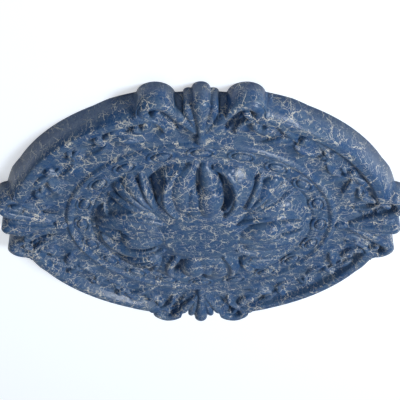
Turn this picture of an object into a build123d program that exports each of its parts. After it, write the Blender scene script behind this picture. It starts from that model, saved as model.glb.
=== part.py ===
# Ceiling medallion, one casting: a round plate with a carved face.
# Units are millimetres. The flat back lies on Z = 0 and the carved face looks along +Z.
# The four edge ornaments stand on the X and Y axes, and the ornament is the same in every
# quarter and mirrored about each axis.
import os
from math import atan2, cos, degrees, hypot, radians, sin

from build123d import *

# Plate, from its edge to the middle
back_radius = 240.0
rim_outer_radius = 227.0
rim_inner_radius = 221.0
rim_height = 28.0
field_outer_radius = 214.0
field_height = 18.0
band_outer_radius = 159.0
lip_slope = 5.0
lip_radius = band_outer_radius + lip_slope
lip_outer_radius = lip_radius + lip_slope
lip_height = 24.0
band_inner_radius = 138.0
band_height = 17.0
dish_inner_radius = 60.0
dish_inner_height = 33.0

# Flat seat for the canopy of a lamp
seat_radius = 46.0
seat_height = 41.0

# Band of eggs, each in a raised oval rim
egg_count = 20
egg_length = 27.0
egg_width = 15.0
egg_rise = 9.0
egg_rim = 3.0
egg_rim_rise = 5.5

# Leaf on each axis: a round nose at the seat and two lobes that run out from it
nose_half_width = 21.0
nose_half_length = 19.0
nose_center_radius = 76.0
nose_base_height = 26.0
nose_foot = 8.0
nose_rise = 12.0
lobe_offset = 11.0
lobe_root_radius = 88.0
lobe_tip_radius = 130.0
lobe_root_size = 14.0
lobe_tip_size = 8.0
lobe_root_height = 28.0
lobe_tip_height = 15.0

# Raised edge that curls round each side of the axis leaf, from its root to its tip
edge_root_radius = 72.0
edge_root_offset = 38.0
edge_root_height = 35.0
edge_bend_radius = 105.0
edge_bend_offset = 36.0
edge_bend_height = 29.0
edge_tip_radius = 133.0
edge_tip_offset = 19.0
edge_tip_height = 17.0
edge_size = 6.0
edge_tip_size = 4.5

# Hollow between the leaves
hollow_root_radius = 82.0
hollow_root_offset = 54.0
hollow_root_height = 33.0
hollow_tip_radius = 128.0
hollow_tip_offset = 34.0
hollow_tip_height = 24.0
hollow_root_size = 9.0
hollow_tip_size = 7.0

# Fluted leaf on each diagonal: two pairs of fingers, placed from the nearest axis
inner_flute_root_radius = 84.0
inner_flute_root_offset = 76.0
inner_flute_tip_radius = 106.0
inner_flute_tip_offset = 90.0
outer_flute_root_radius = 92.0
outer_flute_root_offset = 66.0
outer_flute_tip_radius = 121.0
outer_flute_tip_offset = 63.0
flute_root_size = 6.5
flute_tip_size = 5.0
flute_root_height = 31.0
flute_tip_height = 18.0

# Edge ornament: a palmette between two scrolls, in a niche of the rim
palm_base_radius = 186.0
palm_tip_radius = 253.0
palm_base_size = 3.5
palm_tip_size = 11.0
palm_axis_height = 20.0
side_palm_base_radius = 190.0
side_palm_tip_radius = 240.0
side_palm_base_offset = 5.0
side_palm_tip_offset = 13.0
side_palm_base_size = 3.0
side_palm_tip_size = 6.0
side_palm_axis_height = 19.0
bud_radius = 7.0
bud_rise = 6.0
bud_gap = 7.0
bud_center_radius = lip_outer_radius + bud_gap
niche_width = 60.0
niche_inner_radius = 200.0
niche_inner_height = 19.0
niche_outer_height = 13.0
notch_radius = 9.0
notch_offset = 23.5

# Scroll: a drum with a pocket and an eye, on a wider and lower collar
scroll_radius = 21.0
scroll_center_radius = 228.0
scroll_offset = 48.0
scroll_height = 30.0
pocket_radius = 13.5
pocket_shift = 3.0
pocket_depth = 8.0
eye_radius = 6.0
eye_rise = 7.0
collar_radius = 27.0
collar_shift = 9.0
collar_height = 24.5

# Arm from a scroll to the foot of the palmette
arm_outer_offset = 36.0
arm_inner_offset = 9.0
arm_outer_radius = 210.0
arm_inner_radius = 189.0
arm_outer_height = 19.0
arm_outer_size = 8.0
arm_inner_size = 4.0

# Hook that closes the plain field beside each edge ornament
hook_outer_offset = 66.0
hook_inner_offset = 72.0
hook_outer_radius = 208.0
hook_inner_radius = 186.0
hook_outer_height = 21.0
hook_outer_size = 7.0
hook_inner_size = 4.0

# Spray on the field: one flower on each diagonal, leaves and berries beside it
spray_radius = 199.0
petal_count = 5
petal_length = 13.0
petal_width = 8.0
petal_rise = 5.5
berry_radius = 4.5
berry_rise = 5.0
leaf_length = 24.0
leaf_width = 10.0
leaf_rise = 6.0
near_leaf_radius = 208.0
near_leaf_swing = 13.0
near_leaf_turn = 60.0
far_leaf_radius = 199.0
far_leaf_swing = 20.5
far_leaf_turn = 110.0
near_berry_radius = 188.0
near_berry_swing = 15.0
far_berry_radius = 206.0
far_berry_swing = 25.5

# Flats that round a finger or a dome, and the blunt end of a finger
finger_flats = 8
round_flats = 12
scroll_flats = 20
stud_flats = 6
egg_flats = 8
end_blunt = 0.7
end_share = 0.55
finger_turn = 22.5
crown_foot_taper = 16.0
crown_top_taper = 48.0
leaf_taper = 25.0
stud_taper = 10.0
pocket_taper = 12.0

# How far a solid that stands on the plate reaches down into it
root_depth = 6.0
quarters = 4


def draw_in(start_size, end_size, run):
    """The taper, in degrees, that brings one size to another over a run."""
    return degrees(atan2(start_size - end_size, run))


def drawn_prism(size, run, next_size):
    """An upright prism with eight flats, drawn in from one size to the next."""
    with BuildPart() as body:
        with BuildSketch(Plane.XY):
            RegularPolygon(size, finger_flats, major_radius=False, rotation=finger_turn)
        extrude(amount=run, taper=draw_in(size, next_size, run))
    return body.part


def finger(length, start_size, end_size):
    """A finger along X with flats and blunt ends, thickest at its start."""
    start_cap = drawn_prism(start_size, end_blunt * start_size, end_share * start_size)
    end_cap = drawn_prism(end_size, end_blunt * end_size, end_share * end_size)
    with BuildPart() as body:
        add(drawn_prism(start_size, length, end_size))
        add(start_cap.rotate(Axis.X, 180))
        add(end_cap.moved(Pos(0, 0, length)))
    return body.part.rotate(Axis.Y, 90)


def turn_to(start, run):
    """The place of a solid that starts at one point and runs along a level direction."""
    return Pos(*start) * Rot(0, 0, degrees(atan2(run.Y, run.X)))


def laid(start, end, start_size, end_size):
    """A finger laid from one point to another."""
    run = Vector(*end) - Vector(*start)
    slope = degrees(atan2(run.Z, hypot(run.X, run.Y)))
    return finger(run.length, start_size, end_size).moved(turn_to(start, run) * Rot(0, -slope, 0))


def standing(start, end, start_size, end_size):
    """A level finger with walls that drop from its widest line to the back plane."""
    run = Vector(*end) - Vector(*start)
    outline = (
        (-end_blunt * start_size, end_share * start_size),
        (0, start_size),
        (run.length, end_size),
        (run.length + end_blunt * end_size, end_share * end_size),
    )
    with BuildPart() as body:
        with BuildSketch(Plane.XY.offset(-start[2])):
            with BuildLine():
                Polyline(*outline, *[(x, -y) for x, y in reversed(outline)], close=True)
            make_face()
        extrude(amount=start[2])
        add(finger(run.length, start_size, end_size))
    return body.part.moved(turn_to(start, run))


def oval(width, length, flats):
    """The corners of an oval with a number of flats."""
    return [
        (width / 2 * cos(radians(360 * i / flats)), length / 2 * sin(radians(360 * i / flats)))
        for i in range(flats)
    ]


def dome(width, length, rise, depth, flats):
    """A boss with an oval foot and a crown of two slopes, going down to a depth below it."""
    with BuildPart() as body:
        with BuildSketch(Plane.XY.offset(-depth)):
            with BuildLine():
                Polyline(*oval(width, length, flats), close=True)
            make_face()
        extrude(amount=depth)
        for share, taper in ((0.62, crown_foot_taper), (0.38, crown_top_taper)):
            extrude(body.faces().sort_by(Axis.Z)[-1], amount=share * rise, taper=taper)
    return body.part


def leaf(length, width, rise, depth):
    """A pointed leaf along X, drawn in towards its top."""
    with BuildPart() as body:
        with BuildSketch(Plane.XY.offset(-depth)):
            with BuildLine():
                Polyline(
                    (-length / 2, 0),
                    (-length / 8, -width / 2),
                    (length / 4, -width / 2.6),
                    (length / 2, 0),
                    (length / 4, width / 2.6),
                    (-length / 8, width / 2),
                    close=True,
                )
            make_face()
        extrude(amount=rise + depth, taper=leaf_taper)
    return body.part


# Plate, turned from its section
with BuildPart() as plate:
    with BuildSketch(Plane.XZ):
        with BuildLine():
            Polyline(
                (0, 0),
                (back_radius, 0),
                (rim_outer_radius, rim_height),
                (rim_inner_radius, rim_height),
                (field_outer_radius, field_height),
                (lip_outer_radius, field_height),
                (lip_radius, lip_height),
                (band_outer_radius, band_height),
                (band_inner_radius, band_height),
                (dish_inner_radius, dish_inner_height),
                (seat_radius, seat_height),
                (0, seat_height),
                (0, 0),
            )
        make_face()
    revolve(axis=Axis.Z)

# Niche in the rim for one edge ornament, with its floor falling outwards
with BuildPart() as niche:
    with BuildSketch(Plane.YZ):
        with BuildLine():
            Polyline(
                (niche_inner_radius, niche_inner_height),
                (back_radius, niche_outer_height),
                (back_radius + rim_height, niche_outer_height),
                (back_radius + rim_height, 2 * rim_height),
                (niche_inner_radius, 2 * rim_height),
                (niche_inner_radius, niche_inner_height),
            )
        make_face()
    extrude(amount=niche_width / 2, both=True)

# Notches in the outline between the palmette and its scrolls
with BuildPart() as notches:
    with BuildSketch(Plane.XY.offset(-root_depth)):
        with Locations((notch_offset, back_radius), (-notch_offset, back_radius)):
            Circle(notch_radius)
    extrude(amount=rim_height + 2 * root_depth)

# Scroll: a drum on its collar, with a round pocket
with BuildPart() as scroll:
    with BuildSketch(Plane.XY):
        RegularPolygon(collar_radius, scroll_flats)
    extrude(amount=collar_height)
    with BuildSketch(Plane.XY):
        with Locations((0, collar_shift)):
            RegularPolygon(scroll_radius, scroll_flats)
    extrude(amount=scroll_height)
    with BuildSketch(Plane.XY.offset(scroll_height)):
        with Locations((0, collar_shift + pocket_shift)):
            RegularPolygon(pocket_radius, round_flats)
    extrude(amount=-pocket_depth, taper=pocket_taper, mode=Mode.SUBTRACT)
scroll_eye = dome(2 * eye_radius, 2 * eye_radius, eye_rise, root_depth, finger_flats)
scroll_eye = scroll_eye.moved(Pos(0, collar_shift, scroll_height - pocket_depth))

# Edge ornament on the Y axis
palm_axis = (0, palm_tip_radius - palm_tip_size, palm_axis_height)
edge_ornament = [
    standing(palm_axis, (0, palm_base_radius, palm_axis_height), palm_tip_size, palm_base_size),
    dome(2 * bud_radius, 2 * bud_radius, bud_rise, root_depth, finger_flats).moved(
        Pos(0, bud_center_radius, field_height)
    ),
]
for side in (-1, 1):
    edge_ornament += [
        standing(
            (side * side_palm_tip_offset, side_palm_tip_radius - side_palm_tip_size, side_palm_axis_height),
            (side * side_palm_base_offset, side_palm_base_radius, side_palm_axis_height),
            side_palm_tip_size,
            side_palm_base_size,
        ),
        scroll.part.moved(Pos(side * scroll_offset, scroll_center_radius - collar_shift, 0)),
        scroll_eye.moved(Pos(side * scroll_offset, scroll_center_radius - collar_shift, 0)),
        laid(
            (side * arm_outer_offset, arm_outer_radius, arm_outer_height),
            (side * arm_inner_offset, arm_inner_radius, field_height),
            arm_outer_size,
            arm_inner_size,
        ),
        laid(
            (side * hook_outer_offset, hook_outer_radius, hook_outer_height),
            (side * hook_inner_offset, hook_inner_radius, field_height),
            hook_outer_size,
            hook_inner_size,
        ),
    ]

# Leaf on the Y axis
axis_leaf = [
    dome(
        2 * nose_half_width, 2 * nose_half_length, nose_rise, root_depth + nose_foot, round_flats
    ).moved(Pos(0, nose_center_radius, nose_foot + nose_base_height))
]
for side in (-1, 1):
    edge_bend = (side * edge_bend_offset, edge_bend_radius, edge_bend_height)
    axis_leaf += [
        laid(
            (side * lobe_offset, lobe_root_radius, lobe_root_height),
            (side * lobe_offset, lobe_tip_radius, lobe_tip_height),
            lobe_root_size,
            lobe_tip_size,
        ),
        laid((side * edge_root_offset, edge_root_radius, edge_root_height), edge_bend, edge_size, edge_size),
        laid(edge_bend, (side * edge_tip_offset, edge_tip_radius, edge_tip_height), edge_size, edge_tip_size),
    ]

# Hollows beside the axis leaf
hollows = [
    laid(
        (side * hollow_root_offset, hollow_root_radius, hollow_root_height),
        (side * hollow_tip_offset, hollow_tip_radius, hollow_tip_height),
        hollow_root_size,
        hollow_tip_size,
    )
    for side in (-1, 1)
]

# Fluted leaf on the diagonals, half of it on each side of the axis
fluted_leaf = []
for side in (-1, 1):
    for root, tip in (
        (
            (side * inner_flute_root_offset, inner_flute_root_radius, flute_root_height),
            (side * inner_flute_tip_offset, inner_flute_tip_radius, flute_tip_height),
        ),
        (
            (side * outer_flute_root_offset, outer_flute_root_radius, flute_root_height),
            (side * outer_flute_tip_offset, outer_flute_tip_radius, flute_tip_height),
        ),
    ):
        fluted_leaf.append(laid(root, tip, flute_root_size, flute_tip_size))

# Spray on the diagonal: a flower between leaves and berries
petal = leaf(petal_length, petal_width, petal_rise, root_depth).moved(Pos(0.6 * petal_length, 0, 0))
with BuildPart() as berry_body:
    with BuildSketch(Plane.XY.offset(-root_depth)):
        RegularPolygon(berry_radius, stud_flats)
    extrude(amount=root_depth + berry_rise, taper=stud_taper)
berry = berry_body.part
spray_leaf = leaf(leaf_length, leaf_width, leaf_rise, root_depth)
spray = [petal.moved(Pos(spray_radius, 0, 0) * Rot(0, 0, 360 * i / petal_count)) for i in range(petal_count)]
spray.append(berry.moved(Pos(spray_radius, 0, 0)))
for side in (-1, 1):
    spray += [
        spray_leaf.moved(
            Rot(0, 0, side * near_leaf_swing) * Pos(near_leaf_radius, 0, 0) * Rot(0, 0, side * near_leaf_turn)
        ),
        spray_leaf.moved(
            Rot(0, 0, side * far_leaf_swing) * Pos(far_leaf_radius, 0, 0) * Rot(0, 0, side * far_leaf_turn)
        ),
        berry.moved(Rot(0, 0, side * near_berry_swing) * Pos(near_berry_radius, 0, 0)),
        berry.moved(Rot(0, 0, side * far_berry_swing) * Pos(far_berry_radius, 0, 0)),
    ]
spray = [one.moved(Rot(0, 0, 45) * Pos(0, 0, field_height)) for one in spray]

# Egg in its rim, on the X axis
egg = dome(egg_width, egg_length, egg_rise, root_depth, egg_flats)
with BuildPart() as egg_rim_body:
    with BuildSketch(Plane.XY.offset(-root_depth)):
        with BuildLine():
            Polyline(*oval(egg_width + 2 * egg_rim, egg_length + 2 * egg_rim, egg_flats), close=True)
        make_face()
    extrude(amount=root_depth + egg_rim_rise, taper=stud_taper)
egg_radius = (band_inner_radius + band_outer_radius) / 2
eggs = [one.moved(Pos(egg_radius, 0, band_height)) for one in (egg_rim_body.part, egg)]

# The casting, fused into one solid
with BuildPart() as medallion:
    add(plate.part)
    with PolarLocations(0, quarters):
        add(niche.part, mode=Mode.SUBTRACT)
    with PolarLocations(0, quarters):
        add(notches.part, mode=Mode.SUBTRACT)
    with PolarLocations(0, quarters):
        add(hollows, mode=Mode.SUBTRACT)
    with PolarLocations(0, quarters):
        add([*edge_ornament, *axis_leaf, *fluted_leaf, *spray])
    with PolarLocations(0, egg_count):
        add(eggs)
medallion.part.label = "medallion"

os.makedirs("parts", exist_ok=True)
export_step(medallion.part, "parts/medallion.step")
print("medallion", len(medallion.part.solids()), medallion.part.is_valid, round(medallion.part.volume))
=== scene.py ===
import math

import bpy
import numpy as np
from mathutils import Matrix, Vector


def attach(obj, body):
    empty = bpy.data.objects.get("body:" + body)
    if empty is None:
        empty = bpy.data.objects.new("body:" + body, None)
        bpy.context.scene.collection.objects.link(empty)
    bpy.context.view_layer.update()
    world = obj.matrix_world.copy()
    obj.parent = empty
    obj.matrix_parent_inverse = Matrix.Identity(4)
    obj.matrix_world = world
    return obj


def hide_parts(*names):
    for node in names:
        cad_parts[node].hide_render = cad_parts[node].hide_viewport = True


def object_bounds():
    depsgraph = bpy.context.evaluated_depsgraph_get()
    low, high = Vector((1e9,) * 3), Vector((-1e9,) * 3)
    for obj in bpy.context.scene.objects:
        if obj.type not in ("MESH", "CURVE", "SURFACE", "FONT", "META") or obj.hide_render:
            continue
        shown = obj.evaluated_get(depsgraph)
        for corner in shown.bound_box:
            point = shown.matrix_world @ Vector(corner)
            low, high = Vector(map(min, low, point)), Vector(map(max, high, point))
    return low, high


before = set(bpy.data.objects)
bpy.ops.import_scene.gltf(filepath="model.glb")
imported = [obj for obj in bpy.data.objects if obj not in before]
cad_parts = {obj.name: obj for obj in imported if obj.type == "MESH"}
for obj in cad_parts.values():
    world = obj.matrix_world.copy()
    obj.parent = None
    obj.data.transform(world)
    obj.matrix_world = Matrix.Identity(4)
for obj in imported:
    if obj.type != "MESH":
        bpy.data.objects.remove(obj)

# %% [markdown]
# # A cast ceiling medallion, painted in crackled blue
#
# The object is one casting of hard foam, half a metre across. It lies on its flat back with the
# carved face up. The CAD solid holds the plan and the heights with flats and cones. Here the carving
# gets its rounded forms, and the face its paint.

# %% Measure the CAD frame
cad_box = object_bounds()
print("CAD box", [[round(v, 4) for v in side] for side in cad_box])

# %% [markdown]
# ## One eighth of the circle
#
# The ornament repeats in quarters and each quarter is mirrored, as a carver's pattern is. So a point
# of the face is folded into an eighth of the circle first. Every ridge is then described once, and it
# appears eight times. Lengths are in millimetres until the mesh is built, like the CAD source.

# %% Fold an angle
quarter_turn = math.pi / 2
eighth_turn = math.pi / 4


def fold_angle(angle):
    """The angle between a direction and its nearest axis."""
    return np.abs((angle + eighth_turn) % quarter_turn - eighth_turn)


print("200 degrees folds to", round(math.degrees(fold_angle(math.radians(200))), 1), "degrees")

# %% [markdown]
# ## The outline
#
# The rim is round, and the palmettes and scrolls stand past it down to the back. Each of them ends in
# a round form, so the outline is the circle of the rim, or the reach of a disc where that is more.
# The rim steps in behind the palmette, and it flares a little on both sides of the scrolls. The wall
# leans out to its foot, as a casting does that has to leave its mould.

# %% Outline over the angle
around = 1440
angles = np.linspace(0, 2 * math.pi, around, endpoint=False)
scroll_disc = (228, 48, 20.6)
petal_disc = (239.8, 0, 9.3)
side_petal_disc = (234, 13, 5.6)
notch_half_angle = 0.150
notch_depth = 8.5
flare_half_angle = math.radians(29)
flare = 2.5


def reach_of_disc(disc, grow, angle):
    """How far out a disc reaches along a direction, or 0 where it is missed."""
    centre_u, centre_v, size = disc
    size = size + grow
    along = centre_u * np.cos(angle) + centre_v * np.sin(angle)
    off = np.abs(centre_v * np.cos(angle) - centre_u * np.sin(angle))
    return np.where(off < size, along + np.sqrt(np.clip(size**2 - off**2, 0, None)), 0)


def outline(rim, grow):
    """The outline of the casting at the top or at the foot of its wall."""
    angle = fold_angle(angles)
    notch = np.clip((notch_half_angle - angle) / 0.02, 0, 1)
    radius = np.full(angle.shape, rim) - notch_depth * notch
    radius = radius + flare * np.clip((flare_half_angle - angle) / 0.09, 0, 1)
    for disc in (scroll_disc, petal_disc, side_petal_disc):
        radius = np.maximum(radius, reach_of_disc(disc, grow, angle))
    return radius


top_edge = outline(231.0, 0)
foot_edge = outline(240.0, 0.4)
print("outline from", round(foot_edge.min(), 1), "to", round(foot_edge.max(), 1), "mm")

# %% [markdown]
# ## The grid
#
# The face is a height over every point of a round grid, like clay on a wheel. The grid follows
# circles as far as the plain field, and from there it stretches out to the outline at each angle. So
# the edge of the mesh runs along the edge of the casting, without steps.

# %% Points of the face
across = 300
round_part = 200
inner = np.linspace(0, round_part, round_part)[1:]
outer = np.linspace(0, 1, across - round_part + 1)[1:]
radii = np.concatenate([
    np.repeat(inner[None, :], around, 0),
    round_part + (top_edge[:, None] - round_part) * outer[None, :],
], 1)
grid_x = radii * np.cos(angles)[:, None]
grid_y = radii * np.sin(angles)[:, None]
print("grid of", radii.size, "points")

# %% [markdown]
# ## Places on the folded face
#
# Three pairs of numbers say where a point lies. u runs out along the nearest axis and v lies beside
# it. w is v with a sign, for the leaves that lean to one side. p runs out along the diagonal and q
# lies beside it, for the flower and the sprays.

# %% Fold the grid
r = np.hypot(grid_x, grid_y)
fold = fold_angle(np.arctan2(grid_y, grid_x))
u = r * np.cos(fold)
v = r * np.sin(fold)
w = v * np.sign(grid_x * grid_y)
diagonal = math.cos(eighth_turn)
p = (u + v) * diagonal
q = (u - v) * diagonal
print("u to", round(u.max(), 1), "mm, v to", round(v.max(), 1), "mm")

# %% [markdown]
# ## The turned body
#
# The section of the plate comes first, from the canopy seat in the middle to the rim. A spline
# through its corners would ring, so straight runs are used and then blurred over a little under two
# millimetres, as paint and mould soften every corner.

# %% Section of the plate
seat_and_dish = [(0, 41), (44, 41), (49, 39.5), (60, 36), (80, 30), (100, 23.5), (119, 18.6)]
egg_ring = [(135, 18), (138, 16.4), (141, 18.3), (156, 18.3), (158, 18)]
lip_and_field = [(162.5, 21.4), (165.5, 21.6), (169, 18), (213, 18)]
rim_band = [(216, 20), (220, 26.5), (222, 28), (229, 28.2), (231, 27.6), (232, 26.5), (300, 26.5)]
section = np.array(seat_and_dish + egg_ring + lip_and_field + rim_band)
steps_per_mm = 10
blur = 17
fine = np.linspace(0, 300, 300 * steps_per_mm + 1)
body = np.interp(fine, section[:, 0], section[:, 1])
kernel = np.hanning(blur)
body = np.convolve(np.pad(body, blur // 2, mode="edge"), kernel / kernel.sum(), mode="valid")
height = np.interp(r, fine, body)
print("body from", round(height.min(), 1), "to", round(height.max(), 1), "mm")

# %% [markdown]
# ## Tools for carving
#
# Every ornament is a rounded ridge along a smooth path, with its own width and crest at each point.
# Two surfaces meet in a small fillet, as they do in a cast piece that has been painted thickly. A
# groove is the same stroke with its crest at 0, used to take height away.

# %% A rounded ridge along a path
missed = -1e3


def ridge(u, v, path, sizes, tops, squash):
    """The height of a rounded ridge, with its half width and crest at each point of its path."""
    best = np.full(u.shape, missed)
    spans = zip(zip(path, path[1:]), zip(sizes, sizes[1:]), zip(tops, tops[1:]))
    for (start, end), (s0, s1), (t0, t1) in spans:
        du, dv = end[0] - start[0], end[1] - start[1]
        t = np.clip(((u - start[0]) * du + (v - start[1]) * dv) / (du * du + dv * dv), 0, 1)
        d = np.hypot(u - start[0] - t * du, v - start[1] - t * dv)
        size = s0 + (s1 - s0) * t
        top = t0 + (t1 - t0) * t
        inside = np.clip(1 - (d / size) ** 2, 0, None)
        best = np.maximum(best, np.where(d < size, top - squash * size * (1 - np.sqrt(inside)), missed))
    return best


def curve(points, count):
    """A smooth path through a few points."""
    knots = np.array(points, float)
    out = []
    for x in np.linspace(0, len(knots) - 1, count):
        i = min(int(x), len(knots) - 2)
        f = x - i
        a, b, c, d = knots[max(i - 1, 0)], knots[i], knots[i + 1], knots[min(i + 2, len(knots) - 1)]
        bent = 2 * b + (c - a) * f + (2 * a - 5 * b + 4 * c - d) * f**2 + (3 * b - a - 3 * c + d) * f**3
        out.append(0.5 * bent)
    return np.array(out)


def stroke(u, v, points, squash=1.0, count=14):
    """A ridge along a smooth path. Each point is (u, v, half width, crest height)."""
    path = curve(points, count)
    return ridge(u, v, path[:, :2], path[:, 2], path[:, 3], squash)


print("a smooth path of 5 points:", curve([(0, 0), (10, 5), (20, 0)], 5).round(1).tolist())


# %% Join, cut and measure
def smooth_max(a, b, fillet):
    """The higher of two surfaces, with a fillet about that wide where they meet."""
    h = np.clip(0.5 + 0.5 * (a - b) / fillet, 0, 1)
    return b * (1 - h) + a * h + fillet * h * (1 - h)


def cut(surface, groove, depth, fall):
    """A surface lowered inside a groove, deepest along its middle."""
    return np.where(groove > missed / 10, surface - depth * np.clip(1 + groove / fall, 0, 1), surface)


def say_change(name, before):
    """Print what a carving step did to the face."""
    change = height - before
    share = 100 * (np.abs(change) > 0.05).mean()
    print(name, round(share, 1), "% of the grid,", round(change.min(), 1), "to", round(change.max(), 1), "mm")


print("two equal surfaces meet", smooth_max(0.0, 0.0, 1.0), "of the fillet higher")

# %% [markdown]
# ## A niche for the palmette
#
# The rim band stops on each axis, so that the palmette can run through it. The floor of this niche
# falls outwards, which gives the petals a shadow behind them.

# %% Niche in the rim
before = height
niche_half_width = 33
niche_start = 205
niche_floor = 19 - (u - 200) * 0.15
niche = np.clip((niche_half_width - v) / 5, 0, 1) * np.clip((u - niche_start) / 8, 0, 1)
height = height * (1 - niche) + niche_floor * niche
say_change("niche", before)

# %% [markdown]
# ## The leaf on the axis
#
# A carver blocks out the flanks of a leaf before its middle. Both flanks get one round form. One of
# them is then built up fuller, and the hollows beside the leaf are cut, so the leaf seems to lean.

# %% Flanks and hollows of the leaf
before = height
flank_path = [(60, 34, 14, 39), (80, 41, 17, 38.5), (100, 40, 17, 35), (114, 33, 13, 29), (122, 22, 8, 24)]
full_flank_path = [(62, 38, 15, 38), (80, 45, 18, 37.5), (97, 46, 18, 33), (112, 39, 14, 27)]
pit_path = [(70, -58, 5, 0), (84, -58, 8, 0), (98, -54, 8.5, 0), (111, -46, 6, 0)]
valley_path = [(60, 25, 3, 0), (76, 30, 5.5, 0), (94, 31, 6, 0), (108, 25, 4.5, 0), (118, 17, 2, 0)]
height = smooth_max(height, stroke(u, v, flank_path, 1.1), 1.5)
height = smooth_max(height, stroke(u, w, full_flank_path, 0.9), 1.5)
height = cut(height, stroke(u, w, pit_path), depth=7, fall=7)
height = cut(height, stroke(u, w, valley_path), depth=11, fall=5)
say_change("flanks", before)

# %% [markdown]
# The middle of the leaf has a round nose towards the seat, a folded lobe and a smooth one, on a low
# root. A sharp crease parts the two lobes, and it ends in a small socket at the nose.

# %% Nose, lobes and crease
before = height
nose = stroke(u, w, [(58, 8, 13, 43), (72, 10, 16.5, 46), (84, 10, 16.5, 45)], 0.85, 8)
folded = stroke(u, w, [(96, 9, 12, 36), (108, 9, 11.5, 33), (124, 4, 7, 25)])
smooth_path = [(66, -19, 17, 41), (88, -22, 18, 39), (108, -19, 15, 34), (124, -9, 8, 25.5)]
smooth_lobe = stroke(u, w, smooth_path, 0.7)
root = stroke(u, w, [(54, -5, 12, 41.5), (72, -6, 12, 41.5), (90, -6, 10, 39)], 0.4, 6)
leaf = smooth_max(smooth_max(folded, smooth_lobe, 1.2), smooth_max(nose, root, 1.0), 0.6)
crease_side = -4.0
crease_depth = 12
crease_start, crease_end = 92, 134
crease = np.exp(-((w - crease_side) / 1.8) ** 2)
crease = crease * np.clip((u - crease_start) / 4, 0, 1) * np.clip((crease_end - u) / 30, 0, 1)
socket_u = 98
socket_depth = 6
socket = np.exp(-((u - socket_u) / 4.5) ** 2 - ((w - crease_side) / 3) ** 2)
leaf = leaf - crease_depth * crease - socket_depth * socket
height = smooth_max(height, leaf, 1.0)
say_change("leaf", before)

# %% [markdown]
# A thin raised edge runs round the leaf from the seat to its tip. It catches the light as a bright
# line, which is what makes the leaf read from below.

# %% Edge of the leaf
before = height
edge_path = [
    (48, 31, 4, 41), (64, 39, 4.6, 42), (80, 42, 4.8, 41.5), (98, 41, 4.8, 38), (112, 35, 4.6, 33),
    (121, 26, 4.2, 28), (124, 16, 3.5, 24.5),
]
height = smooth_max(height, stroke(u, v, edge_path, 1.4), 0.8)
say_change("leaf edge", before)

# %% [markdown]
# ## The fluted leaf on the diagonal
#
# A broad blade carries four fingers that fan out from one root. Two of them lie on each side of the
# diagonal, so the fold makes the other two.

# %% Blade and fingers
before = height
blade_path = [(62, 60, 10, 38), (80, 74, 13, 34), (94, 84, 10, 25)]
inner_finger = [(66, 56, 4, 39.5), (80, 60.5, 5.5, 39), (94, 65.5, 5.5, 33), (108, 70, 4, 21)]
outer_finger = [(64, 60, 4, 39.5), (77, 71, 5.2, 38), (88, 80.5, 5, 31), (98, 89, 3.5, 21)]
height = smooth_max(height, stroke(u, v, blade_path, 0.8), 2)
for finger in (inner_finger, outer_finger):
    height = smooth_max(height, stroke(u, v, finger, 1.6), 0.8)
say_change("fluted leaf", before)

# %% [markdown]
# ## The scroll
#
# Beside each palmette a broad ribbon curls over a hollow disc and runs in to the foot of the petals.
# The hollow is cut first, then the rolled edge of the rim, and the ribbon lies on top of both.

# %% Hollow under the ribbon
before = height
hollow_radius = 19.5
hollow_floor = 19.5
from_disc = np.hypot(u - scroll_disc[0], v - scroll_disc[1])
height = np.where(from_disc < hollow_radius, np.minimum(height, hollow_floor), height)
crevice_path = [(228, 50, 3.5, 0), (219, 40, 4, 0), (207, 33, 4, 0), (194, 27, 2.5, 0)]
height = cut(height, stroke(u, v, crevice_path), depth=5, fall=4)
say_change("hollow", before)

# %% Rolled edge, ribbon and curl
before = height
rolled_edge_path = [
    (228, 84, 4.5, 28.5), (226, 74, 5, 28.5), (218, 64, 4.5, 28), (215, 54, 3.8, 27),
    (208, 45, 3.4, 25.5), (199, 40, 3.2, 24), (188, 39, 2.6, 21.5),
]
ribbon_path = [
    (221, 60, 4.8, 27.5), (230, 62, 5.6, 29), (238, 57, 6.2, 30), (241.5, 48, 6.4, 30.5),
    (238.5, 38, 6.6, 30.5), (230, 30, 7.2, 30), (219, 24, 6.8, 28), (207, 17.5, 5.4, 25.5),
    (196, 11, 4.2, 23.5), (188, 6.5, 3, 21.5),
]
curl_path = [(221, 60, 3.6, 26), (219, 52, 3.6, 26), (226, 47.5, 4.2, 27)]
height = smooth_max(height, stroke(u, v, rolled_edge_path, 1.0, 20), 0.8)
height = smooth_max(height, stroke(u, v, ribbon_path, 0.9, 34), 0.6)
height = smooth_max(height, stroke(u, v, curl_path, 1.0, 8), 0.6)
say_change("scroll", before)

# %% [markdown]
# ## The palmette
#
# One petal swells at its tip between two narrow ones, and a small bud closes its foot. The tips end
# over the discs of the outline, so that face and wall agree.

# %% Petals and bud
before = height
side_path = [(190, 4, 3, 21.5), (210, 9, 4.4, 24.5), (226, 13, 5.8, 27), (234.5, 14, 5.4, 26)]
petal_path = [
    (184, 0, 3.2, 24), (197, 0, 4.2, 26), (212, 0, 5.6, 28), (228, 0, 8.4, 30.5), (240, 0, 9.6, 31.5),
]
bud_path = [(172, 0, 6, 24), (178, 0, 6.5, 24.5)]
height = smooth_max(height, stroke(u, v, side_path), 0.8)
height = smooth_max(height, stroke(u, v, petal_path, 0.9), 0.8)
height = smooth_max(height, stroke(u, v, bud_path, 1.0, 2), 0.8)
say_change("palmette", before)

# %% [markdown]
# ## The hook
#
# A short hook closes the plain field under the rolled edge. It turns the eye from the rim back into
# the field.

# %% Hook
before = height
hook_path = [(207, 58, 5.5, 25), (197, 60, 5.5, 24.5), (190, 68, 4.5, 23.5), (188, 77, 3.2, 21)]
height = smooth_max(height, stroke(u, v, hook_path), 1.0)
say_change("hook", before)

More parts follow.
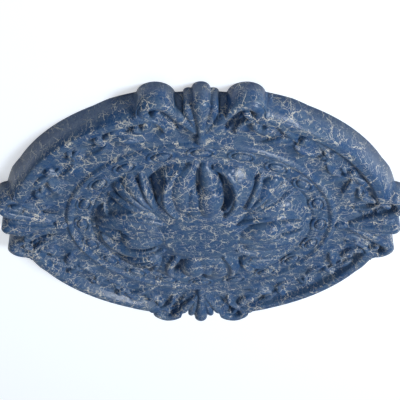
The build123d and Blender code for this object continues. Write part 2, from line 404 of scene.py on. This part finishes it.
# %% [markdown]
# ## Sprays and a flower on the field
#
# Each quarter of the field has a flower on its diagonal, with a spray on both sides. A spray is made
# of stems, leaves and buds. Their points are given by radius and by angle from the axis, because
# they follow the circle of the field.

# %% Sprays
before = height


def both_sides(points, squash, count):
    """A stroke and its mirror image across the diagonal."""
    return np.maximum(stroke(p, q, points, squash, count), stroke(p, -q, points, squash, count))


def twig(points):
    """A stroke of the spray, from points of (radius, degrees, half width, crest height)."""
    placed = []
    for radius, turn, size, top in points:
        away = math.radians(45 - turn)
        placed.append((radius * math.cos(away), radius * math.sin(away), size, top))
    return both_sides(placed, 0.85, 8)


stem = [(201, 36, 1.8, 20.5), (203, 31, 2, 21.5), (207, 26, 2, 21.5)]
big_bud = [(201, 33, 4.4, 23.5), (209, 33, 5.2, 25)]
inner_leaf = [(184, 22.5, 2.4, 20.5), (193, 25.5, 5.4, 24), (203, 29, 2.6, 21)]
outer_leaf = [(217, 22.5, 2.4, 21), (212, 26.5, 5.2, 24.5), (206, 30.5, 2.4, 21.5)]
small_leaf = [(192, 41, 2.2, 20), (189, 37, 4.2, 22), (193, 33, 2.2, 20.5)]
end_bud = [(205, 19.5, 4.6, 24.5), (207, 20, 4.6, 24.5)]
for points in (stem, big_bud, inner_leaf, outer_leaf, small_leaf, end_bud):
    height = smooth_max(height, twig(points), 1.0)
say_change("sprays", before)

# %% Flower of five petals
before = height
flower_radius = 203
petal_length = 8.5
petal_count = 5
for i in range(petal_count):
    way = 2 * math.pi * i / petal_count
    end = (flower_radius + petal_length * math.cos(way), petal_length * math.sin(way))
    middle = (flower_radius + 0.6 * (end[0] - flower_radius), 0.6 * end[1])
    blossom = [(flower_radius, 0, 1.8, 21.5), (*middle, 3.4, 22.5), (*end, 2, 21)]
    height = smooth_max(height, both_sides(blossom, 1.1, 5), 0.5)
heart = [(202.5, 0, 3, 23.5), (203.5, 0, 3, 23.5)]
height = smooth_max(height, stroke(p, q, heart, 1.0, 2), 0.5)
say_change("flower", before)

# %% [markdown]
# ## The closed mesh
#
# A casting is a solid, so the mesh has a face, a wall and a flat back. The rows of the face go on
# down the wall, where they stand closer under the rim, and one fan of triangles closes the back.

# %% Rows of points, from the middle to the foot of the wall
ceiling = cad_box[1][2] * 1000 - 0.1
lowest = 8
height = np.clip(height, lowest, ceiling)
wall_steps = (0.03, 0.08, 0.2, 0.35, 0.5, 0.65, 0.8, 0.92, 1.0)
rows = [(grid_x[:, j], grid_y[:, j], height[:, j]) for j in range(radii.shape[1])]
for f in wall_steps:
    wall = top_edge + (foot_edge - top_edge) * f
    rows.append((wall * np.cos(angles), wall * np.sin(angles), height[:, -1] * (1 - f)))
verts = [(0.0, 0.0, float(height[:, 0].mean()))]
for x, y, z in rows:
    verts += np.stack([x, y, z], 1).tolist()
verts.append((0.0, 0.0, 0.0))
print("face from", round(height.min(), 1), "to", round(height.max(), 1), "mm,", len(verts), "points")

# %% Faces between the rows
faces = [(0, 1 + i, 1 + (i + 1) % around) for i in range(around)]
for j in range(len(rows) - 1):
    a, b = 1 + j * around, 1 + (j + 1) * around
    faces += [(a + i, b + i, b + (i + 1) % around, a + (i + 1) % around) for i in range(around)]
last = 1 + (len(rows) - 1) * around
faces += [(last + (i + 1) % around, last + i, len(verts) - 1) for i in range(around)]
mesh = bpy.data.meshes.new("casting")
mesh.from_pydata([(x / 1000, y / 1000, z / 1000) for x, y, z in verts], [], faces)
casting = bpy.data.objects.new("casting", mesh)
bpy.context.collection.objects.link(casting)
print("closed mesh of", len(faces), "faces")

# %% [markdown]
# The grid has far more points than the plain parts need. Decimate takes them out where the face is
# flat and leaves them where it curves, down to a size that a library part can carry.

# %% Thin the mesh
thin = casting.modifiers.new("thin", "DECIMATE")
thin.ratio = 0.21
bpy.context.view_layer.update()
done = bpy.data.meshes.new_from_object(casting.evaluated_get(bpy.context.evaluated_depsgraph_get()))
casting.modifiers.clear()
casting.data = done
done.shade_smooth()
print("casting", sum(len(face.vertices) - 2 for face in done.polygons), "triangles")

# %% [markdown]
# ## Two helpers for nodes
#
# Shader trees and Geometry Nodes trees are built in the same way: a node, its settings, and an input
# that is either a value or another node's output. One helper does that for both kinds of tree.

# %% Node helpers
def link(tree, kind, inputs=None, **settings):
    """A node with its settings and inputs; an input is a value or another node's output."""
    node = tree.nodes.new(kind)
    for name, value in settings.items():
        setattr(node, name, value)
    for name, value in (inputs or {}).items():
        socket = node.inputs[name]
        if isinstance(value, bpy.types.NodeSocket):
            tree.links.new(value, socket)
        else:
            socket.default_value = value
    return node


def math_node(tree, operation, first, second, **settings):
    """The output of a Math node with two inputs."""
    return link(tree, "ShaderNodeMath", {0: first, 1: second}, operation=operation, **settings).outputs[0]


def put_in(tree, name, kind, value):
    """A named input of a group, with its value."""
    tree.interface.new_socket(name, in_out="INPUT", socket_type=kind).default_value = value


print("node helpers ready")

# %% [markdown]
# ## Blue paint with cream cracks
#
# Crackle paint is a dark blue over a cream ground. As it dries it splits into plates, and the ground
# shows in thin branching lines that break off and start again. One net of cracks is made from the
# edges of Voronoi cells, bent by noise. Its distance is turned into metres, so a line keeps its width,
# and a slower noise decides where it shows, so that no net is closed.

# %% Crackle group: a bent net of cell edges
crackle = bpy.data.node_groups.new("crackle", "ShaderNodeTree")
put_in(crackle, "Position", "NodeSocketVector", (0, 0, 0))
put_in(crackle, "Cells per metre", "NodeSocketFloat", 60)
put_in(crackle, "Line width", "NodeSocketFloat", 0.0005)
put_in(crackle, "Coverage", "NodeSocketFloat", 0.5)
crackle.interface.new_socket("Mask", in_out="OUTPUT", socket_type="NodeSocketFloat")
given = link(crackle, "NodeGroupInput").outputs
bend = link(crackle, "ShaderNodeTexNoise", {
    "Vector": given["Position"], "Scale": 230, "Detail": 3, "Roughness": 0.6,
})
centre = link(crackle, "ShaderNodeVectorMath", {
    0: bend.outputs["Color"], 1: (0.5, 0.5, 0.5),
}, operation="SUBTRACT")
bend_by = 0.006
shift = link(crackle, "ShaderNodeVectorMath", {0: centre.outputs[0], "Scale": bend_by}, operation="SCALE")
bent = link(crackle, "ShaderNodeVectorMath", {0: given["Position"], 1: shift.outputs[0]})
net = link(crackle, "ShaderNodeTexVoronoi", {
    "Vector": bent.outputs[0], "Scale": given["Cells per metre"], "Randomness": 1.0,
}, feature="DISTANCE_TO_EDGE")
print("crackle inputs", [socket.name for socket in given if socket.name])

# %% Crackle group: line width and gaps
line_sharpness = 5000.0
gate_sharpness = 14.0
away = math_node(crackle, "DIVIDE", net.outputs["Distance"], given["Cells per metre"])
inside = math_node(crackle, "SUBTRACT", given["Line width"], away)
sharp = math_node(crackle, "MULTIPLY", inside, line_sharpness, use_clamp=True)
vary = link(crackle, "ShaderNodeTexNoise", {
    "Vector": given["Position"], "Scale": 95, "Detail": 3, "Roughness": 0.65,
})
over = math_node(crackle, "SUBTRACT", vary.outputs[0], given["Coverage"])
gate = math_node(crackle, "MULTIPLY", over, gate_sharpness, use_clamp=True)
mask = math_node(crackle, "MULTIPLY", sharp, gate)
link(crackle, "NodeGroupOutput", {"Mask": mask})
print("crackle group", len(crackle.nodes), "nodes")

# %% [markdown]
# The paint uses the group twice, for a coarse net and a fine one. Both fade in and out slowly over
# the face. Positions are those of the object, so that nothing slides or turns.

# %% Cracks of the paint
paint = bpy.data.materials.new("crackle_paint")
paint.use_nodes = True
tree = paint.node_tree
tree.nodes.clear()
spot = link(tree, "ShaderNodeTexCoord").outputs["Object"]


def cracks(values):
    """One net of cracks over the object."""
    return link(tree, "ShaderNodeGroup", {"Position": spot, **values}, node_tree=crackle).outputs["Mask"]


coarse = cracks({"Cells per metre": 66, "Line width": 0.00036, "Coverage": 0.415})
fine_net = cracks({"Cells per metre": 150, "Line width": 0.00023, "Coverage": 0.445})
lines = math_node(tree, "MAXIMUM", coarse, fine_net)
slow = link(tree, "ShaderNodeTexNoise", {"Vector": spot, "Scale": 48, "Detail": 3, "Roughness": 0.7})
fade = link(tree, "ShaderNodeMapRange", {
    "Value": slow.outputs[0], "From Min": 0.42, "From Max": 0.60, "To Min": 0.25, "To Max": 1.0,
})
shown = math_node(tree, "MULTIPLY", lines, fade.outputs[0])
print("cracks", len(tree.nodes), "nodes")

# %% [markdown]
# The blue itself is uneven, as brushed paint is: a patchy noise with a fine grain mixes a deep blue
# with a dusty one. The sheen is low satin, and the cracks lie a little lower than the plates.

# %% Blues, cream and sheen
deep_blue = (0.014, 0.064, 0.182, 1)
dusty_blue = (0.072, 0.130, 0.222, 1)
cream = (0.72, 0.68, 0.60, 1)
patches = link(tree, "ShaderNodeTexNoise", {"Vector": spot, "Scale": 60, "Detail": 8, "Roughness": 0.78})
grain = link(tree, "ShaderNodeTexNoise", {"Vector": spot, "Scale": 450, "Detail": 3, "Roughness": 0.7})
mottle = math_node(tree, "ADD", patches.outputs[0], grain.outputs[0])
spread = link(tree, "ShaderNodeMapRange", {"Value": mottle, "From Min": 0.88, "From Max": 1.12})
blue = link(tree, "ShaderNodeMix", {
    "Factor": spread.outputs[0], "A": deep_blue, "B": dusty_blue,
}, data_type="RGBA")
color = link(tree, "ShaderNodeMix", {
    "Factor": shown, "A": blue.outputs["Result"], "B": cream,
}, data_type="RGBA")
dents = link(tree, "ShaderNodeTexNoise", {"Vector": spot, "Scale": 260, "Detail": 3})
raised = math_node(tree, "SUBTRACT", dents.outputs[0], lines)
bump = link(tree, "ShaderNodeBump", {"Height": raised, "Strength": 0.4, "Distance": 0.0008})
shader = link(tree, "ShaderNodeBsdfPrincipled", {
    "Base Color": color.outputs["Result"], "Roughness": 0.33, "Specular IOR Level": 0.40,
    "Normal": bump.outputs[0],
})
link(tree, "ShaderNodeOutputMaterial", {"Surface": shader.outputs[0]})
casting.data.materials.clear()
casting.data.materials.append(paint)
print("paint", len(tree.nodes), "nodes")

# %% [markdown]
# ## The egg band
#
# Twenty eggs lie in a ring, each in a raised oval rim. One egg is enough to model: a flattened ball
# and a wire round an oval. Geometry Nodes set it on the points of a circle and turn it to face out.

# %% Sizes of the band, in metres
band_sizes = {
    "Eggs": ("NodeSocketInt", 20),
    "Ring radius": ("NodeSocketFloat", 0.1485),
    "Height": ("NodeSocketFloat", 0.0185),
    "Egg size": ("NodeSocketVector", (0.0064, 0.0112, 0.0038)),
    "Rim size": ("NodeSocketVector", (0.0090, 0.0150, 1.0)),
    "Rim wire": ("NodeSocketFloat", 0.0025),
    "Rim place": ("NodeSocketVector", (0, 0, -0.0013)),
}
band = bpy.data.node_groups.new("egg band", "GeometryNodeTree")
for name, (kind, value) in band_sizes.items():
    put_in(band, name, kind, value)
band.interface.new_socket("Geometry", in_out="OUTPUT", socket_type="NodeSocketGeometry")
given = link(band, "NodeGroupInput").outputs
print("egg band inputs", list(band_sizes))

# %% Ring of points that face out
ring = link(band, "GeometryNodeMeshCircle", {"Vertices": given["Eggs"], "Radius": given["Ring radius"]})
lift = link(band, "ShaderNodeCombineXYZ", {"Z": given["Height"]})
lifted = link(band, "GeometryNodeSetPosition", {"Geometry": ring.outputs[0], "Offset": lift.outputs[0]})
position = link(band, "GeometryNodeInputPosition")
face_out = link(band, "FunctionNodeAlignRotationToVector", {
    "Vector": position.outputs[0],
}, axis="X", pivot_axis="Z")
print("ring", len(band.nodes), "nodes")

# %% One egg in its rim
ball = link(band, "GeometryNodeMeshUVSphere", {"Segments": 28, "Rings": 16, "Radius": 1.0})
egg = link(band, "GeometryNodeTransform", {"Geometry": ball.outputs[0], "Scale": given["Egg size"]})
loop = link(band, "GeometryNodeCurvePrimitiveCircle", {"Resolution": 40, "Radius": 1.0})
oval = link(band, "GeometryNodeTransform", {"Geometry": loop.outputs[0], "Scale": given["Rim size"]})
wire = link(band, "GeometryNodeCurvePrimitiveCircle", {"Resolution": 12, "Radius": given["Rim wire"]})
rim = link(band, "GeometryNodeCurveToMesh", {"Curve": oval.outputs[0], "Profile Curve": wire.outputs[0]})
rim_placed = link(band, "GeometryNodeTransform", {
    "Geometry": rim.outputs[0], "Translation": given["Rim place"],
})
one = link(band, "GeometryNodeJoinGeometry")
for part in (egg, rim_placed):
    band.links.new(part.outputs[0], one.inputs[0])
print("egg and rim", len(band.nodes), "nodes")

# %% Set the egg on every point
eggs = link(band, "GeometryNodeInstanceOnPoints", {
    "Points": lifted.outputs[0], "Instance": one.outputs[0], "Rotation": face_out.outputs[0],
})
real = link(band, "GeometryNodeRealizeInstances", {"Geometry": eggs.outputs[0]})
smooth = link(band, "GeometryNodeSetShadeSmooth", {"Geometry": real.outputs[0]})
coat = link(band, "GeometryNodeSetMaterial", {"Geometry": smooth.outputs[0], "Material": paint})
link(band, "NodeGroupOutput", {"Geometry": coat.outputs[0]})
print("egg band", len(band.nodes), "nodes")

# %% [markdown]
# The export drops instances, so the band is turned into a plain mesh. Each size is set on the
# modifier by its socket's identifier before the object is evaluated for the first time.

# %% Turn the band into a plain mesh
egg_band = bpy.data.objects.new("egg_band", bpy.data.meshes.new("egg_band"))
bpy.context.collection.objects.link(egg_band)
work = egg_band.modifiers.new("egg_band", "NODES")
work.node_group = band
for item in band.interface.items_tree:
    if item.in_out == "INPUT":
        work[item.identifier] = band_sizes[item.name][1]
bpy.context.view_layer.update()
depsgraph = bpy.context.evaluated_depsgraph_get()
egg_band.data = bpy.data.meshes.new_from_object(egg_band.evaluated_get(depsgraph))
egg_band.modifiers.clear()
print("egg_band", len(egg_band.data.polygons), "faces")

# %% [markdown]
# ## What each piece is
#
# The casting is shown in place of the CAD node. Both pieces belong to the one body of the part and
# carry the same paint.

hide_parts("medallion")
for piece in (casting, egg_band):
    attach(piece, "root")
print("pieces", [piece.name for piece in (casting, egg_band)])

# %% [markdown]
# ## The floor
#
# A pale floor takes the soft shadow. It looks white to the camera, to reflections and through glass,
# by a glow that only those rays see, so it adds no diffuse light to the medallion.

# %% Floor
floor_half = 6
floor_glow = 0.5
corners = [(-floor_half, -floor_half, 0), (floor_half, -floor_half, 0)]
corners += [(floor_half, floor_half, 0), (-floor_half, floor_half, 0)]
floor_mesh = bpy.data.meshes.new("floor")
floor_mesh.from_pydata(corners, [], [(0, 1, 2, 3)])
floor = bpy.data.objects.new("floor", floor_mesh)
bpy.context.collection.objects.link(floor)
pale = bpy.data.materials.new("pale_floor")
pale.use_nodes = True
pale.node_tree.nodes.clear()
rays = link(pale.node_tree, "ShaderNodeLightPath").outputs
seen = math_node(pale.node_tree, "MAXIMUM", rays["Is Camera Ray"], rays["Is Glossy Ray"])
seen = math_node(pale.node_tree, "MAXIMUM", seen, rays["Is Transmission Ray"])
glow = math_node(pale.node_tree, "MULTIPLY", seen, floor_glow)
shader = link(pale.node_tree, "ShaderNodeBsdfPrincipled", {
    "Base Color": (0.63, 0.69, 0.77, 1), "Roughness": 0.9, "Emission Color": (1, 1, 1, 1),
    "Emission Strength": glow,
})
link(pale.node_tree, "ShaderNodeOutputMaterial", {"Surface": shader.outputs[0]})
floor_mesh.materials.append(pale)
print("floor", 2 * floor_half, "m wide")

# %% [markdown]
# ## The light
#
# A small key light stands on the camera's side, at the right of the picture and about 40 degrees up.
# So the walls on the left go dark and every hollow gets one dark side. A large soft light above fills
# the shadows, and the world adds a little blue from all round.

# %% Light
light_color = (0.95, 0.98, 1.0)


def area_light(name, direction, distance, size, power):
    """A square light that looks at the medallion."""
    data = bpy.data.lights.new(name, "AREA")
    data.size = size
    data.energy = power
    data.color = light_color
    lamp = bpy.data.objects.new(name, data)
    lamp.location = Vector(direction).normalized() * distance
    lamp.rotation_euler = lamp.location.to_track_quat("Z", "Y").to_euler()
    bpy.context.collection.objects.link(lamp)
    print(name, "light", power, "W at", [round(c, 2) for c in lamp.location])


area_light("key", (-0.68, -0.35, 0.64), distance=2.6, size=0.7, power=56)
area_light("top", (-0.1, 0.35, 1.0), distance=3.0, size=2.2, power=20)
world = bpy.data.worlds.new("studio")
world.use_nodes = True
sky = world.node_tree.nodes["Background"].inputs
sky["Color"].default_value = (0.78, 0.89, 1.0, 1)
sky["Strength"].default_value = 0.20
bpy.context.scene.world = world
bpy.context.scene.view_settings.view_transform = "Standard"

# %% [markdown]
# ## The camera
#
# The photograph looks down on the face from 33 degrees above it, and it is turned over: the near side
# of the medallion is at its top. So the camera rolls by half a turn. Its lens and aim come from the
# outline of the medallion in the picture.

# %% Camera
rim_radius = 0.240
stand_off = 5 * rim_radius
lift_angle = math.radians(33.2)
picture_pixels = 400
focal_pixels = 950
aim_right_pixels = 0.9
aim_up_pixels = -11.9
camera_data = bpy.data.cameras.new("camera")
camera_data.sensor_width = 36.0
camera_data.lens = 36.0 * focal_pixels / picture_pixels
camera = bpy.data.objects.new("camera", camera_data)
place = Vector((0, -math.cos(lift_angle), math.sin(lift_angle))) * stand_off
rolled = Matrix((
    (-1, 0, 0),
    (0, -math.sin(lift_angle), -math.cos(lift_angle)),
    (0, -math.cos(lift_angle), math.sin(lift_angle)),
))
middle = Vector((aim_right_pixels / focal_pixels, aim_up_pixels / focal_pixels, -1)).normalized()
aim = middle.rotation_difference(Vector((0, 0, -1))).to_matrix()
camera.matrix_world = Matrix.Translation(place) @ (rolled @ aim).to_4x4()
bpy.context.collection.objects.link(camera)
bpy.context.scene.camera = camera
print("lens", camera_data.lens, "mm, from", [round(c, 3) for c in place])
